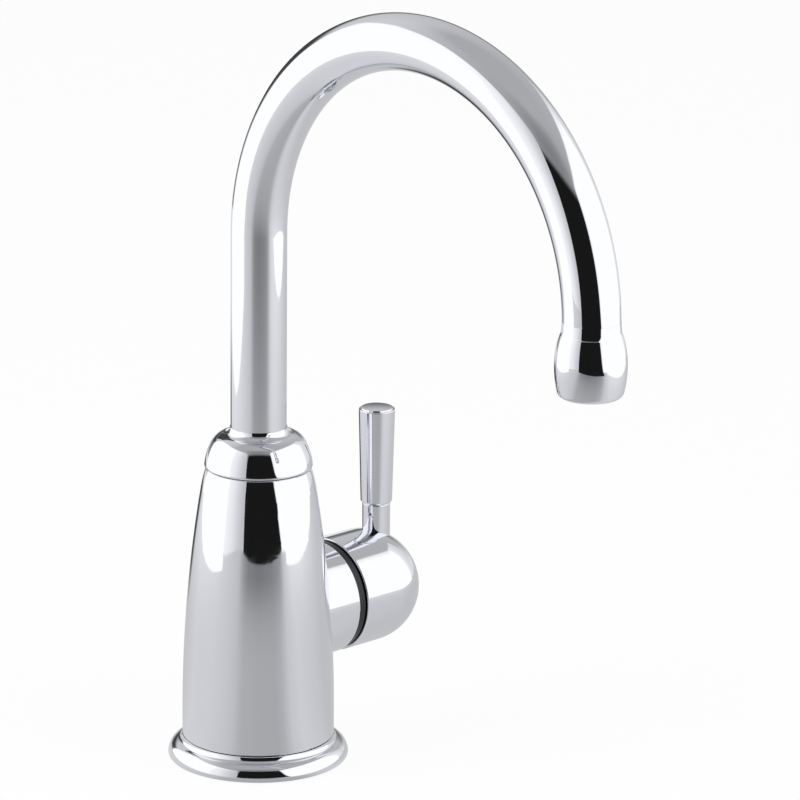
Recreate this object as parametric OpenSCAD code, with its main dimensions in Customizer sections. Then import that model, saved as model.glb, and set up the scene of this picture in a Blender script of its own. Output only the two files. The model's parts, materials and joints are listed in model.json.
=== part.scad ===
// Cold water dispenser faucet with a swivelling high-arch spout and a side lever.
// The origin is the centre of the base ring on the deck, +Z is up, the spout reaches
// towards -Y and the valve lies along +X. Everything under z = 0 is below the deck.

/* [Base ring] */
// Outer radius of the base ring
ring_r = 26; // [24.5:0.1:34]
// Height of the base ring
ring_h = 6.5; // [5.5:0.1:9]
// Radius of the ring's top lip, just outside the body
ring_lip_r = 22.2; // [22:0.1:23.5]
// Radius of the rounded bead along the ring's foot
bead_r = 3; // [2:0.1:3.4]
// Height of the bead's widest line above the deck
bead_z = 0.9; // [0.3:0.1:1.6]
// Radius of the hollow flank from the bead up to the lip
cove_r = 26; // [12:0.5:60]
// Thickness of the gasket in the ring's underside
gasket_t = 1.5; // [1:0.1:2.5]
// Width of the gasket
gasket_w = 3.2; // [2:0.1:4]

/* [Body] */
// Radius of the body at its foot
body_r = 21.85; // [20.5:0.05:21.9]
// Radius that the body's long taper reaches at its top
body_top_r = 15.45; // [14.85:0.05:18]
// Height of the body above the base ring
body_h = 80.2; // [76:0.1:110]
// Height of the body's straight foot, under the taper
body_foot_h = 7.5; // [2:0.1:12]
// Height of the brow, where the taper bends in faster under the top
brow_h = 6.2; // [2:0.1:7]
// Radius of the brow
brow_r = 36; // [34:1:120]
// Rounding of the body's lower and upper edges
body_edge_r = 0.5; // [0.2:0.1:0.8]
// Radius of the spigot that centres the base ring
spigot_r = 17.5; // [16.5:0.1:18]
// Length of that spigot
spigot_h = 4.5; // [2:0.1:4.8]
// Thickness of the spigot's wall
spigot_wall = 2; // [1.5:0.1:2.5]

/* [Valve] */
// Height of the valve axis above the deck
valve_z = 42.2; // [40:0.1:50]
// Radius of the collar that carries the handle
collar_r = 16.5; // [15:0.1:17]
// Distance from the body's axis to the collar's face
collar_x = 24.9; // [24:0.1:34]
// Radius of the chamber that holds the cartridge
chamber_r = 12; // [11:0.1:12.4]
// Radius of the cartridge nut's thread
nut_thread_r = 13.4; // [12.9:0.1:14]
// Length of the cartridge nut
nut_len = 6.5; // [5:0.1:7.5]
// Radius of the water passages
passage_r = 2.8; // [2:0.1:3.2]
// Wall of the cartridge's sleeve
sleeve_wall = 2.9; // [2.2:0.1:3.1]
// Thickness of each ceramic disc
disc_t = 2.5; // [2:0.1:3]
// Radius of the two ports through a disc
port_r = 2.2; // [1.6:0.1:2.3]
// Distance of the ports from the valve axis
port_at = 4.8; // [4.5:0.1:5.2]
// Radius of the valve spindle
spindle_r = 4; // [3:0.1:4.4]

/* [Handle] */
// Width of the black spacer ring
spacer_w = 2.7; // [1.5:0.1:5]
// Outer radius of the spacer ring
spacer_r = 15.9; // [15:0.1:16.4]
// Radius of the hub and of its round end
hub_r = 16.6; // [16:0.1:20]
// Rounding of the hub's rim
hub_edge_r = 0.4; // [0.2:0.1:0.8]
// Wall of the hub
hub_wall = 2.8; // [2:0.1:3.2]
// Length of the hub's straight part
hub_len = 13.1; // [12:0.1:24]
// Distance of the lever beyond the centre of the hub's round end
lever_out = 5.5; // [4:0.1:7]
// Radius of the lever's stem
lever_r = 4.06; // [3.4:0.02:4.2]
// Distance from the valve axis up to the grip
lever_h = 24; // [21:0.1:50]
// Length of the grip
grip_len = 29; // [22:0.1:60]
// Radius of the grip at its lower end
grip_low_r = 4.6; // [4.3:0.05:6]
// Radius of the grip at its top
grip_top_r = 5.29; // [4.5:0.01:8]
// Radius of the set screw
screw_r = 2; // [1.5:0.1:2.4]
// Length of the set screw
screw_len = 8; // [5:0.5:10]

/* [Spout] */
// Outer radius of the spout tube
tube_r = 8; // [7.5:0.1:9.5]
// Wall of the spout tube
tube_wall = 1.2; // [0.8:0.1:2]
// Height above the deck where the arch begins
bend_z = 155.5; // [125:0.5:260]
// Radius of the arch, at the tube's centre
bend_r = 65.8; // [50:0.1:120]

/* [Spout foot] */
// Radius of the dome at its rim
dome_r = 15.5; // [14.8:0.05:18]
// Radius of the dome's round shoulder
dome_arc_r = 12.6; // [11.5:0.1:14]
// Rounding of the dome's lower edge
dome_edge_r = 0.4; // [0.2:0.1:0.6]
// Radius of the cove from the dome up to the tube
dome_cove_r = 1.6; // [0.8:0.1:3]
// Radius of the spigot that turns in the body
pivot_r = 10.95; // [10:0.05:11.2]
// Length of that spigot
pivot_len = 19.5; // [17:0.1:22]
// Thickness of the washer that the spout turns on
glide_t = 1.1; // [0.8:0.1:1.5]

/* [Nozzle] */
// Largest radius of the nozzle
nozzle_r = 9.93; // [9.9:0.01:13]
// Length of the nozzle, from its neck to its mouth
nozzle_len = 19.1; // [18:0.1:30]
// Distance from the neck down to the widest line
nozzle_shoulder = 8.7; // [6:0.1:9.5]
// How much narrower the mouth is than the widest line
nozzle_tuck = 0.92; // [0.5:0.01:1.1]
// Rounding of the mouth's outer edge
mouth_edge_r = 1.4; // [0.8:0.1:1.6]
// Radius of the aerator
aerator_r = 7.4; // [6.9:0.1:7.5]
// Thickness of the aerator's insert
aerator_t = 6; // [4:0.1:7]

/* [Under the deck] */
// Thickness of the deck that the faucet is clamped to
deck_t = 20; // [4:0.5:30]
// Radius of the threaded shank
shank_r = 10; // [9:0.1:11]
// Radius of the shank's bore
shank_bore_r = 5; // [3:0.1:5.5]
// Length of the shank below the deck
shank_len = 60; // [56:0.5:90]
// Outer radius of the two washers
washer_r = 21; // [19:0.1:26]
// Thickness of the rubber washer
deck_washer_t = 3; // [2:0.1:5]
// Thickness of the steel washer
clamp_washer_t = 2; // [1:0.1:3]
// Distance across the flats of the mounting nut
nut_flats = 30; // [26:0.5:36]
// Height of the mounting nut
nut_h = 9; // [6:0.5:14]
// Radius of the inlet nipple's tube end
inlet_r = 4.76; // [4:0.02:5.5]
// Length of that tube end
inlet_len = 18; // [12:0.5:30]
// Radius of the nipple's bore
inlet_bore_r = 3; // [2:0.1:3.4]
// Distance across the flats of the nipple's hexagon
nipple_flats = 15; // [13:0.5:18]

/* [Hidden] */
$fn = 96;

// Clearances of a push fit and a running fit, the gap between pieces that turn past each
// other, how far a cut runs past the face it opens, and the rounding of a broken edge
push_fit = 0.05;
run_fit = 0.05;
body_gap = 0.3;
past = 1;
edge_r = 0.3;

// Circumradius of a hexagon from its distance across the flats, and the height of the
// 30 degree chamfer over its corners
function hex_r(flats) = flats / 2 / cos(30);
function hex_rise(flats) = (hex_r(flats) - flats / 2 + edge_r) * tan(30);

// Radius of the arc that turns in by `inset` over a run of `run`, square at its start
function taper_arc(run, inset) = (run * run + inset * inset) / (2 * inset);

// Centre of the circle of radius r that passes through `to` and touches the circle of
// radius r0 about `mid` from outside
function cove_centre(mid, r0, to, r) =
    let (d = to - mid, u = d / norm(d), a = (pow(r + r0, 2) - r * r + d * d) / (2 * norm(d)))
    mid + a * u + sqrt(pow(r + r0, 2) - a * a) * [u[1], -u[0]];

// Point where a circle of radius r about c touches one of radius r0 about mid
function touch_point(mid, r0, c, r) = mid + (c - mid) * r0 / (r0 + r);

// Point at height z on the circle of radius r0 about mid
function arc_point(mid, r0, z) = [mid[0] + sqrt(r0 * r0 - pow(z - mid[1], 2)), z];

// Centre at height z of a circle of radius r that touches, from inside, the circle of
// radius r0 about mid, and the point where the two touch
function nested_centre(mid, r0, z, r) = arc_point(mid, r0 - r, z);
function nested_touch(mid, r0, c, r) = mid + (c - mid) * r0 / (r0 - r);

// Base ring
ring_bore_r = spigot_r + push_fit;
gasket_r = spigot_r + 1.5;
bead_mid = [ring_r - bead_r, bead_z];
ring_lip = [ring_lip_r, ring_h];
cove_mid = cove_centre(bead_mid, bead_r, ring_lip, cove_r);
cove_foot = touch_point(bead_mid, bead_r, cove_mid, cove_r);

// Body, from the deck up
spigot_z = ring_h - spigot_h;
taper_z = ring_h + body_foot_h;
body_top = ring_h + body_h;
taper_r = taper_arc(body_top - taper_z, body_r - body_top_r);
taper_mid = [body_r - taper_r, taper_z];
brow_foot = arc_point(taper_mid, taper_r, body_top - brow_h);
brow_mid = brow_foot + (taper_mid - brow_foot) * brow_r / taper_r;
body_edge_mid = nested_centre(brow_mid, brow_r, body_top - body_edge_r, body_edge_r);
brow_end = nested_touch(brow_mid, brow_r, body_edge_mid, body_edge_r);
pocket_r = spigot_r - spigot_wall;
shank_boss_r = shank_r + 2;
pocket_top = valve_z - collar_r - 3;

// Top of the shank inside the body, and its seal
shank_top = ring_h + 15;
shank_seal_t = 1.5;
shank_seal_top = shank_top + shank_seal_t;
shank_seal_bore_r = shank_bore_r + 1.5;

// Spout's foot: the flange lies on the glide washer, which is sunk into the body's top
glide_sink = 0.75;
glide_z = body_top - glide_sink;
flange_t = 3;
flange_r = 13.4;
flange_z = glide_z + glide_t + run_fit;
flange_top = flange_z + flange_t;
socket_r = pivot_r + run_fit;
pivot_z = flange_z - pivot_len;
pivot_bore_r = 5.2;
pivot_neck = 10;
water_room = 2.5;
socket_z = pivot_z - water_room;
o_ring_r = 0.9;
o_rings_from_end = [5, 10];
snap_from_end = 14.8;
snap_r = 0.65;
snap_opening = 30;

// Distances out along the valve axis, from the closed end of the chamber to the lever
chamber_x = 1;
valve_seal_t = 1.5;
cartridge_x = chamber_x + valve_seal_t;
moving_x = cartridge_x + disc_t + run_fit;
drive_x = moving_x + disc_t;
drive_t = 3;
spindle_x = drive_x + drive_t;
cap_x = spindle_x + body_gap;
spacer_end = collar_x + spacer_w;
nut_end = spacer_end - 0.6;
nut_x = nut_end - nut_len;
rim_t = 1.5;
rim_x = nut_x - rim_t;
stem_seal_x = (cap_x + nut_x) / 2;
hub_x = spacer_end + body_gap;
hub_boss_x = hub_x + 3.1;
hub_mid = hub_x + hub_len;
hub_solid_x = hub_mid - 3;
lever_x = hub_mid + lever_out;
spindle_end = lever_x + 0.5;
screw_x = lever_x - 2.5;

// Water passages beside the chamber and up to the edge of the spout's socket
passage_wall = 1.5;
inlet_x = chamber_x - passage_wall - passage_r;
outlet_x = socket_r - passage_r - 0.5;

// Discs and the stem, whose drive bar lies between the ports and has a peg at each end
sleeve_r = chamber_r - sleeve_wall;
disc_r = sleeve_r - push_fit;
drive_w = 2 * (port_at - port_r);
peg_r = 1.1;
peg_len = 1.2;
peg_at = 6.2;
stem_groove = 1.4;
stem_ring_r = stem_groove / 2;
slot_w = 3;
slot_depth = 2;

// Hub and lever
hub_boss_r = 8.5;
tenon_r = 3;
grip_tenon_len = 11;
seat_z = valve_z + 12;
tenon_z = seat_z - 6;
grip_z = valve_z + lever_h;
grip_top = grip_z + grip_len;
grip_edge = 0.7;
screw_key_r = 1.1;
screw_key_depth = 2.5;

// Dome: the rounded rim, the round shoulder, then the cove that ends upright at the tube.
// The same thin lip of metal stands round the tube at the dome and at the nozzle.
thin_lip = 0.3;
neck_r = tube_r + thin_lip;
dome_z = body_top + body_gap;
dome_mid = [dome_r - dome_arc_r, dome_z + dome_edge_r];
dome_cove_x = neck_r + dome_cove_r;
dome_cove_z = dome_mid[1]
    + sqrt(pow(dome_arc_r + dome_cove_r, 2) - pow(dome_cove_x - dome_mid[0], 2));
dome_cove_mid = [dome_cove_x, dome_cove_z];
dome_meet = touch_point(dome_mid, dome_arc_r, dome_cove_mid, dome_cove_r);

// Spout tube
tube_bore_r = tube_r - tube_wall;
tube_socket = 8;
reach = 2 * bend_r;

// Nozzle: a shoulder arc over a belly arc, with a rounded mouth
nozzle_top = bend_z - 0.3;
mouth_z = nozzle_top - nozzle_len;
widest_z = nozzle_top - nozzle_shoulder;
shoulder_arc = taper_arc(nozzle_shoulder, nozzle_r - neck_r);
belly_arc = taper_arc(nozzle_len - nozzle_shoulder - mouth_edge_r, nozzle_tuck);
belly_mid = [nozzle_r - belly_arc, widest_z];
mouth_mid = nested_centre(belly_mid, belly_arc, mouth_z + mouth_edge_r, mouth_edge_r);
belly_end = nested_touch(belly_mid, belly_arc, mouth_mid, mouth_edge_r);

// Aerator, from the mouth up, with its rings of stream holes as radius and count
screen_t = 0.6;
screen_rim = 1;
screen_bar = 0.5;
screen_pitch = 2.4;
aerator_washer_t = 1.5;
aerator_z = mouth_z + 0.8;
screen_z = aerator_z + aerator_t;
aerator_washer_z = screen_z + screen_t;
aerator_top = aerator_washer_z + aerator_washer_t;
stream_rings = [[0, 1], [2.4, 6], [4.8, 12]];
stream_r = 0.75;

// Clamp under the deck
deck_washer_z = -deck_t - deck_washer_t;
clamp_washer_z = deck_washer_z - clamp_washer_t;
mounting_nut_z = clamp_washer_z - nut_h;
washer_bore_r = shank_r + 0.35;
nipple_thread_r = 6;
nipple_thread_len = 11;
nipple_hex_t = 6;
nipple_hex_z = -shank_len - nipple_hex_t;
nipple_end_z = nipple_hex_z - inlet_len;

// A round bar about Z with both edges rounded
module rounded_bar(r, h, edge) rotate_extrude() {
    square([r - edge, h]);
    translate([0, edge]) square([r, h - 2 * edge]);
    for (z = [edge, h - edge]) translate([r - edge, z]) circle(r = edge, $fn = 32);
}

// A flat ring about Z, with its outer edges rounded where `edge` is given
module ring(outer, inner, h, edge = 0) difference() {
    if (edge > 0) rounded_bar(outer, h, edge);
    else cylinder(r = outer, h = h);
    translate([0, 0, -past]) cylinder(r = inner, h = h + 2 * past);
}

// A hexagon about Z, turned off round at both ends
module hexagon(flats, h) intersection() {
    cylinder(r = hex_r(flats), h = h, $fn = 6);
    rotate_extrude() polygon([[0, 0], [flats / 2 - edge_r, 0], [hex_r(flats), hex_rise(flats)],
        [hex_r(flats), h - hex_rise(flats)], [flats / 2 - edge_r, h], [0, h]]);
}

// A round ring of section radius r about Z, open over part of its turn
module torus(at, r, opening = 0)
    rotate_extrude(angle = 360 - opening) translate([at, 0]) circle(r = r, $fn = 32);

// Stands what is drawn about Z on the valve axis, at distance x from the body's axis
module on_valve(x = 0) translate([x, 0, valve_z]) rotate([0, 90, 0]) children();

// Base ring: a bead along the foot, a hollow flank and a thin lip under the body
module base_ring_profile() difference() {
    union() {
        polygon([[ring_bore_r, 0], [bead_mid[0], 0], bead_mid, cove_foot, ring_lip,
            [ring_bore_r, ring_h]]);
        intersection() {
            translate(bead_mid) circle(r = bead_r);
            square([ring_r, cove_foot[1]]);
        }
    }
    translate(cove_mid) circle(r = cove_r, $fn = 360);
    translate([gasket_r, -past]) square([gasket_w + push_fit, gasket_t + past]);
}
module base_ring() color("gainsboro") rotate_extrude() base_ring_profile();

module base_gasket() color("dimgray") ring(gasket_r + gasket_w, gasket_r + push_fit, gasket_t);

// Outline of the body: a straight foot, one long arc, the brow and the rounded top edge
module body_profile() {
    translate([0, spigot_z]) square([spigot_r, spigot_h + body_foot_h]);
    translate([0, ring_h + body_edge_r]) square([body_r, body_foot_h - body_edge_r]);
    translate([0, ring_h]) square([body_r - body_edge_r, body_foot_h]);
    translate([body_r - body_edge_r, ring_h + body_edge_r]) circle(r = body_edge_r, $fn = 32);
    intersection() {
        translate([0, taper_z]) square([body_r, brow_foot[1] - taper_z]);
        translate(taper_mid) circle(r = taper_r, $fn = 720);
    }
    intersection() {
        translate([0, brow_foot[1]]) square([body_r, brow_end[1] - brow_foot[1]]);
        translate(brow_mid) circle(r = brow_r, $fn = 360);
    }
    translate([0, brow_foot[1]]) square([body_edge_mid[0], body_top - brow_foot[1]]);
    translate(body_edge_mid) circle(r = body_edge_r, $fn = 32);
}

module faucet_body() color("gainsboro") difference() {
    union() {
        rotate_extrude() body_profile();
        on_valve() rounded_bar(collar_r, collar_x, edge_r);
    }
    // Pocket round the shank boss, open to the deck
    translate([0, 0, spigot_z - past]) ring(pocket_r, shank_boss_r, pocket_top - spigot_z + past);
    // Shank socket, then the way up beside the chamber and into its end
    translate([0, 0, spigot_z - past]) cylinder(r = shank_r, h = shank_seal_top - spigot_z + past);
    translate([inlet_x, 0, shank_top]) cylinder(r = passage_r, h = valve_z - shank_top);
    on_valve(inlet_x) cylinder(r = passage_r, h = chamber_x - inlet_x + past);
    // Cartridge chamber and the nut's thread
    on_valve(chamber_x) cylinder(r = chamber_r, h = collar_x);
    on_valve(rim_x) cylinder(r = nut_thread_r, h = collar_x);
    // Way up to the spout, its socket and the seat of the glide washer
    translate([outlet_x, 0, valve_z]) cylinder(r = passage_r, h = socket_z - valve_z + past);
    translate([0, 0, socket_z]) cylinder(r = socket_r, h = body_h);
    translate([0, 0, pivot_z + snap_from_end]) torus(socket_r, snap_r + body_gap);
    translate([0, 0, glide_z]) cylinder(r = flange_r + push_fit, h = body_h);
}

module threaded_shank() color("goldenrod") translate([0, 0, -shank_len]) difference() {
    cylinder(r = shank_r, h = shank_len + shank_top);
    translate([0, 0, -past]) cylinder(r = shank_bore_r, h = shank_len + shank_top + 2 * past);
    translate([0, 0, -past]) cylinder(r = nipple_thread_r, h = nipple_thread_len + past);
}

module shank_seal() color("dimgray")
    translate([0, 0, shank_top]) ring(shank_r - push_fit, shank_seal_bore_r, shank_seal_t);

module inlet_nipple() color("goldenrod") difference() {
    union() {
        translate([0, 0, -shank_len]) cylinder(r = nipple_thread_r, h = nipple_thread_len);
        translate([0, 0, nipple_hex_z]) hexagon(nipple_flats, nipple_hex_t);
        translate([0, 0, nipple_end_z]) cylinder(r = inlet_r, h = inlet_len);
    }
    translate([0, 0, nipple_end_z - past]) cylinder(r = inlet_bore_r, h = shank_len);
}

module glide_washer() color("ivory")
    translate([0, 0, glide_z]) ring(flange_r, pivot_r + body_gap, glide_t);

// Valve cartridge: a sleeve with a rim that the nut presses on and a cap that guides the stem
module cartridge_body() color("lightgray") difference() {
    union() {
        on_valve(cartridge_x) cylinder(r = chamber_r - push_fit, h = nut_x - cartridge_x);
        on_valve(rim_x) cylinder(r = nut_thread_r - push_fit, h = rim_t);
    }
    on_valve(cartridge_x - past) cylinder(r = sleeve_r, h = cap_x - cartridge_x + past);
    on_valve(cap_x - past) cylinder(r = spindle_r + run_fit, h = nut_x - cap_x + 2 * past);
    // Side port, under the way up to the spout
    translate([outlet_x, 0, valve_z]) cylinder(r = passage_r, h = chamber_r + past);
}

module cartridge_seal() color("dimgray")
    on_valve(chamber_x) ring(disc_r, port_at + port_r + 0.4, valve_seal_t);

// A ceramic disc of radius r with its pair of ports turned by `turn`
module port_disc(r, turn) difference() {
    cylinder(r = r, h = disc_t);
    for (a = [turn, turn + 180]) rotate([0, 0, a]) translate([port_at, 0, -past])
        cylinder(r = port_r, h = disc_t + 2 * past);
}
module fixed_disc() color("white") on_valve(cartridge_x) port_disc(disc_r, 0);

// The moving disc lets the ports through once it has turned a quarter turn
module moving_disc() color("white") on_valve(moving_x) difference() {
    port_disc(disc_r - run_fit, 90);
    translate([0, 0, disc_t - peg_len - push_fit]) pegs(peg_r + push_fit, peg_len + past);
}

// Two pegs that turn the moving disc
module pegs(r, h) for (x = [-peg_at, peg_at]) translate([x, 0, 0]) cylinder(r = r, h = h);

module cartridge_stem() color("goldenrod") difference() {
    union() {
        on_valve(drive_x) intersection() {
            cylinder(r = disc_r - run_fit, h = drive_t);
            translate([-disc_r, -drive_w / 2, 0]) cube([2 * disc_r, drive_w, drive_t]);
        }
        on_valve(drive_x - peg_len) pegs(peg_r, peg_len + past);
        on_valve(spindle_x) cylinder(r = spindle_r, h = spindle_end - spindle_x);
    }
    on_valve(stem_seal_x - stem_ring_r - push_fit)
        ring(spindle_r + past, spindle_r - stem_groove, 2 * (stem_ring_r + push_fit));
}

module stem_o_ring() color("dimgray")
    on_valve(stem_seal_x) torus(spindle_r + run_fit / 2 - stem_ring_r, stem_ring_r);

// Cartridge nut: a threaded ring with key slots across its outer face
module cartridge_nut() color("goldenrod") on_valve(nut_x) difference() {
    ring(nut_thread_r - push_fit, sleeve_r, nut_len);
    for (a = [0, 90]) rotate([0, 0, a]) translate([-nut_thread_r, -slot_w / 2, nut_len - slot_depth])
        cube([2 * nut_thread_r, slot_w, slot_depth + past]);
}

module spacer_ring() color("black")
    on_valve(collar_x) ring(spacer_r, nut_thread_r + push_fit, spacer_w, edge_r);

module dome_profile() {
    translate([0, dome_z]) square([dome_r - dome_edge_r, dome_edge_r]);
    translate([dome_r - dome_edge_r, dome_mid[1]]) circle(r = dome_edge_r, $fn = 32);
    intersection() {
        translate(dome_mid) circle(r = dome_arc_r, $fn = 180);
        translate([0, dome_mid[1]]) square([dome_r, dome_meet[1] - dome_mid[1]]);
    }
    translate([0, dome_mid[1]]) square([dome_mid[0], dome_meet[1] - dome_mid[1]]);
    difference() {
        translate([0, dome_meet[1]]) square([dome_meet[0], dome_cove_z - dome_meet[1]]);
        translate(dome_cove_mid) circle(r = dome_cove_r);
    }
}
module spout_dome() color("gainsboro") difference() {
    rotate_extrude() dome_profile();
    translate([0, 0, dome_z - past]) cylinder(r = flange_r + push_fit, h = flange_top - dome_z + past);
    cylinder(r = tube_r + push_fit, h = dome_cove_z + past);
}

// Pivot: the spigot with its grooves, the flange and the neck that holds the tube
module spout_pivot() color("goldenrod") difference() {
    union() {
        translate([0, 0, pivot_z]) cylinder(r = pivot_r, h = pivot_len + flange_t);
        translate([0, 0, flange_z]) cylinder(r = flange_r, h = flange_t);
        translate([0, 0, flange_z]) cylinder(r = tube_bore_r - push_fit, h = flange_t + pivot_neck);
    }
    translate([0, 0, pivot_z - past])
        cylinder(r = pivot_bore_r, h = pivot_len + flange_t + pivot_neck + 2 * past);
    for (z = o_rings_from_end) translate([0, 0, pivot_z + z - o_ring_r - push_fit])
        ring(pivot_r + past, pivot_r - 2 * o_ring_r, 2 * (o_ring_r + push_fit));
    translate([0, 0, pivot_z + snap_from_end - snap_r - push_fit])
        ring(pivot_r + past, pivot_r - snap_r - push_fit, 2 * (snap_r + push_fit));
}

module spout_o_rings() color("dimgray") for (z = o_rings_from_end)
    translate([0, 0, pivot_z + z]) torus(socket_r - o_ring_r - run_fit / 2, o_ring_r);

module snap_ring() color("silver") translate([0, 0, pivot_z + snap_from_end])
    rotate([0, 0, 90 + snap_opening / 2]) torus(socket_r, snap_r, snap_opening);

// The spout's path with radius r: up from `from`, round the arch and `down` into the nozzle
module spout_path(r, from, down) {
    translate([0, 0, from]) cylinder(r = r, h = bend_z - from);
    translate([0, -bend_r, bend_z]) rotate([90, 0, 90])
        rotate_extrude(angle = 180) translate([bend_r, 0]) circle(r = r);
    translate([0, -reach, bend_z - down]) cylinder(r = r, h = down);
}
module spout_tube() color("gainsboro") difference() {
    spout_path(tube_r, flange_top, tube_socket);
    spout_path(tube_bore_r, flange_top - past, tube_socket + past);
}

module nozzle_profile() {
    intersection() {
        translate([nozzle_r - shoulder_arc, widest_z]) circle(r = shoulder_arc, $fn = 360);
        translate([0, widest_z]) square([nozzle_r, nozzle_shoulder]);
    }
    intersection() {
        translate(belly_mid) circle(r = belly_arc, $fn = 720);
        translate([0, belly_end[1]]) square([nozzle_r, widest_z - belly_end[1]]);
    }
    translate(mouth_mid) circle(r = mouth_edge_r);
    translate([0, mouth_z]) square([mouth_mid[0], 2 * mouth_edge_r]);
}
module nozzle_housing() color("gainsboro") translate([0, -reach, 0]) difference() {
    rotate_extrude() nozzle_profile();
    translate([0, 0, mouth_z - past]) cylinder(r = aerator_r + push_fit, h = aerator_top - mouth_z + past);
    translate([0, 0, mouth_z]) cylinder(r = tube_bore_r, h = nozzle_len);
    translate([0, 0, bend_z - tube_socket]) cylinder(r = tube_r + push_fit, h = nozzle_len);
}

module aerator_washer() color("dimgray")
    translate([0, -reach, aerator_washer_z]) ring(aerator_r, tube_bore_r - 1, aerator_washer_t);

// Screen: crossing bars in a thin rim
module aerator_screen() color("silver") translate([0, -reach, screen_z]) {
    ring(aerator_r, aerator_r - screen_rim, screen_t);
    for (turn = [0, 90]) rotate([0, 0, turn]) intersection() {
        cylinder(r = aerator_r - screen_rim / 2, h = screen_t);
        for (x = [-aerator_r : screen_pitch : aerator_r])
            translate([x, -aerator_r, 0]) cube([screen_bar, 2 * aerator_r, screen_t]);
    }
}

// Insert: a moulded disc with rings of stream holes
module aerator_insert() color("gray") translate([0, -reach, aerator_z]) difference() {
    cylinder(r = aerator_r, h = aerator_t);
    for (row = stream_rings) for (i = [1 : row[1]]) rotate([0, 0, 360 * i / row[1]])
        translate([row[0], 0, -past]) cylinder(r = stream_r, h = aerator_t + 2 * past, $fn = 24);
}

// Outline of the hub: the rounded rim, a straight part and the round end
module hub_profile() {
    square([hub_r - hub_edge_r, hub_len]);
    translate([0, hub_edge_r]) square([hub_r, hub_len - hub_edge_r]);
    translate([hub_r - hub_edge_r, hub_edge_r]) circle(r = hub_edge_r, $fn = 32);
    translate([0, hub_len]) intersection() {
        circle(r = hub_r, $fn = 180);
        square(hub_r);
    }
}

// Hub, hollow behind, with a boss for the spindle
module handle_hub() color("gainsboro") difference() {
    on_valve(hub_x) rotate_extrude() hub_profile();
    on_valve(hub_x - past) cylinder(r = hub_r - hub_wall, h = hub_boss_x - hub_x + past);
    on_valve(hub_x) ring(hub_r - hub_wall, hub_boss_r, hub_solid_x - hub_x);
    on_valve(hub_x) cylinder(r = spindle_r + push_fit, h = spindle_end + push_fit - hub_x);
    // Seat and tenon hole of the lever, and the set screw's thread
    translate([lever_x, 0, seat_z]) cylinder(r = lever_r + push_fit, h = 2 * hub_r);
    translate([lever_x, 0, tenon_z - push_fit]) cylinder(r = tenon_r, h = hub_r);
    translate([screw_x, 0, valve_z - 2 * hub_r]) cylinder(r = screw_r, h = 2 * hub_r - spindle_r);
}

module handle_set_screw() color("dimgray") translate([screw_x, 0, valve_z - spindle_r - screw_len])
    difference() {
        cylinder(r = screw_r, h = screw_len);
        translate([0, 0, -past]) cylinder(r = screw_key_r, h = screw_key_depth + past, $fn = 6);
    }

module lever_stem() color("gainsboro") translate([lever_x, 0, 0]) {
    translate([0, 0, seat_z]) cylinder(r = lever_r, h = grip_z - seat_z);
    translate([0, 0, tenon_z]) cylinder(r = tenon_r, h = grip_z + grip_tenon_len - tenon_z);
}

// Grip: a slim cone with broken edges and a flat top
module lever_grip() color("gainsboro") translate([lever_x, 0, 0]) difference() {
    rotate_extrude() polygon([[0, grip_z], [grip_low_r - grip_edge, grip_z],
        [grip_low_r, grip_z + grip_edge], [grip_top_r, grip_top - grip_edge],
        [grip_top_r - grip_edge / 2, grip_top], [0, grip_top]]);
    translate([0, 0, grip_z - past]) cylinder(r = tenon_r, h = grip_tenon_len + past + push_fit);
}

module deck_washer() color("dimgray")
    translate([0, 0, deck_washer_z]) ring(washer_r, washer_bore_r, deck_washer_t, edge_r);

module clamp_washer() color("silver")
    translate([0, 0, clamp_washer_z]) ring(washer_r, washer_bore_r, clamp_washer_t, edge_r);

module mounting_nut() color("goldenrod") translate([0, 0, mounting_nut_z]) difference() {
    hexagon(nut_flats, nut_h);
    translate([0, 0, -past]) cylinder(r = shank_r + run_fit, h = nut_h + 2 * past);
}

base_ring();
base_gasket();
faucet_body();
threaded_shank();
shank_seal();
inlet_nipple();
glide_washer();
cartridge_body();
cartridge_seal();
fixed_disc();
cartridge_nut();
spacer_ring();
spout_dome();
spout_pivot();
spout_o_rings();
snap_ring();
spout_tube();
nozzle_housing();
aerator_washer();
aerator_insert();
aerator_screen();
cartridge_stem();
moving_disc();
stem_o_ring();
handle_hub();
lever_stem();
lever_grip();
handle_set_screw();
deck_washer();
clamp_washer();
mounting_nut();
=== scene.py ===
# %% [markdown]
# # A chrome cold water dispenser faucet
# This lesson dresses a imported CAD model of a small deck-mounted faucet: a tapered body, a
# swivelling high-arch spout with an aerated nozzle, and a side lever. The CAD bodies come
# first and are never moved. Finer pieces are then modelled over them with the operators
# that are used by hand, and each finish gets its own procedural material.
# Almost the whole faucet is mirror-bright chrome plate. A mirror shows only what stands
# round it, so half of this lesson is about the room that the chrome reflects.

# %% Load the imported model
import json
from math import atan2, cos, degrees, pi, radians, sin, tan

import bpy
from mathutils import Matrix, Vector


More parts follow.
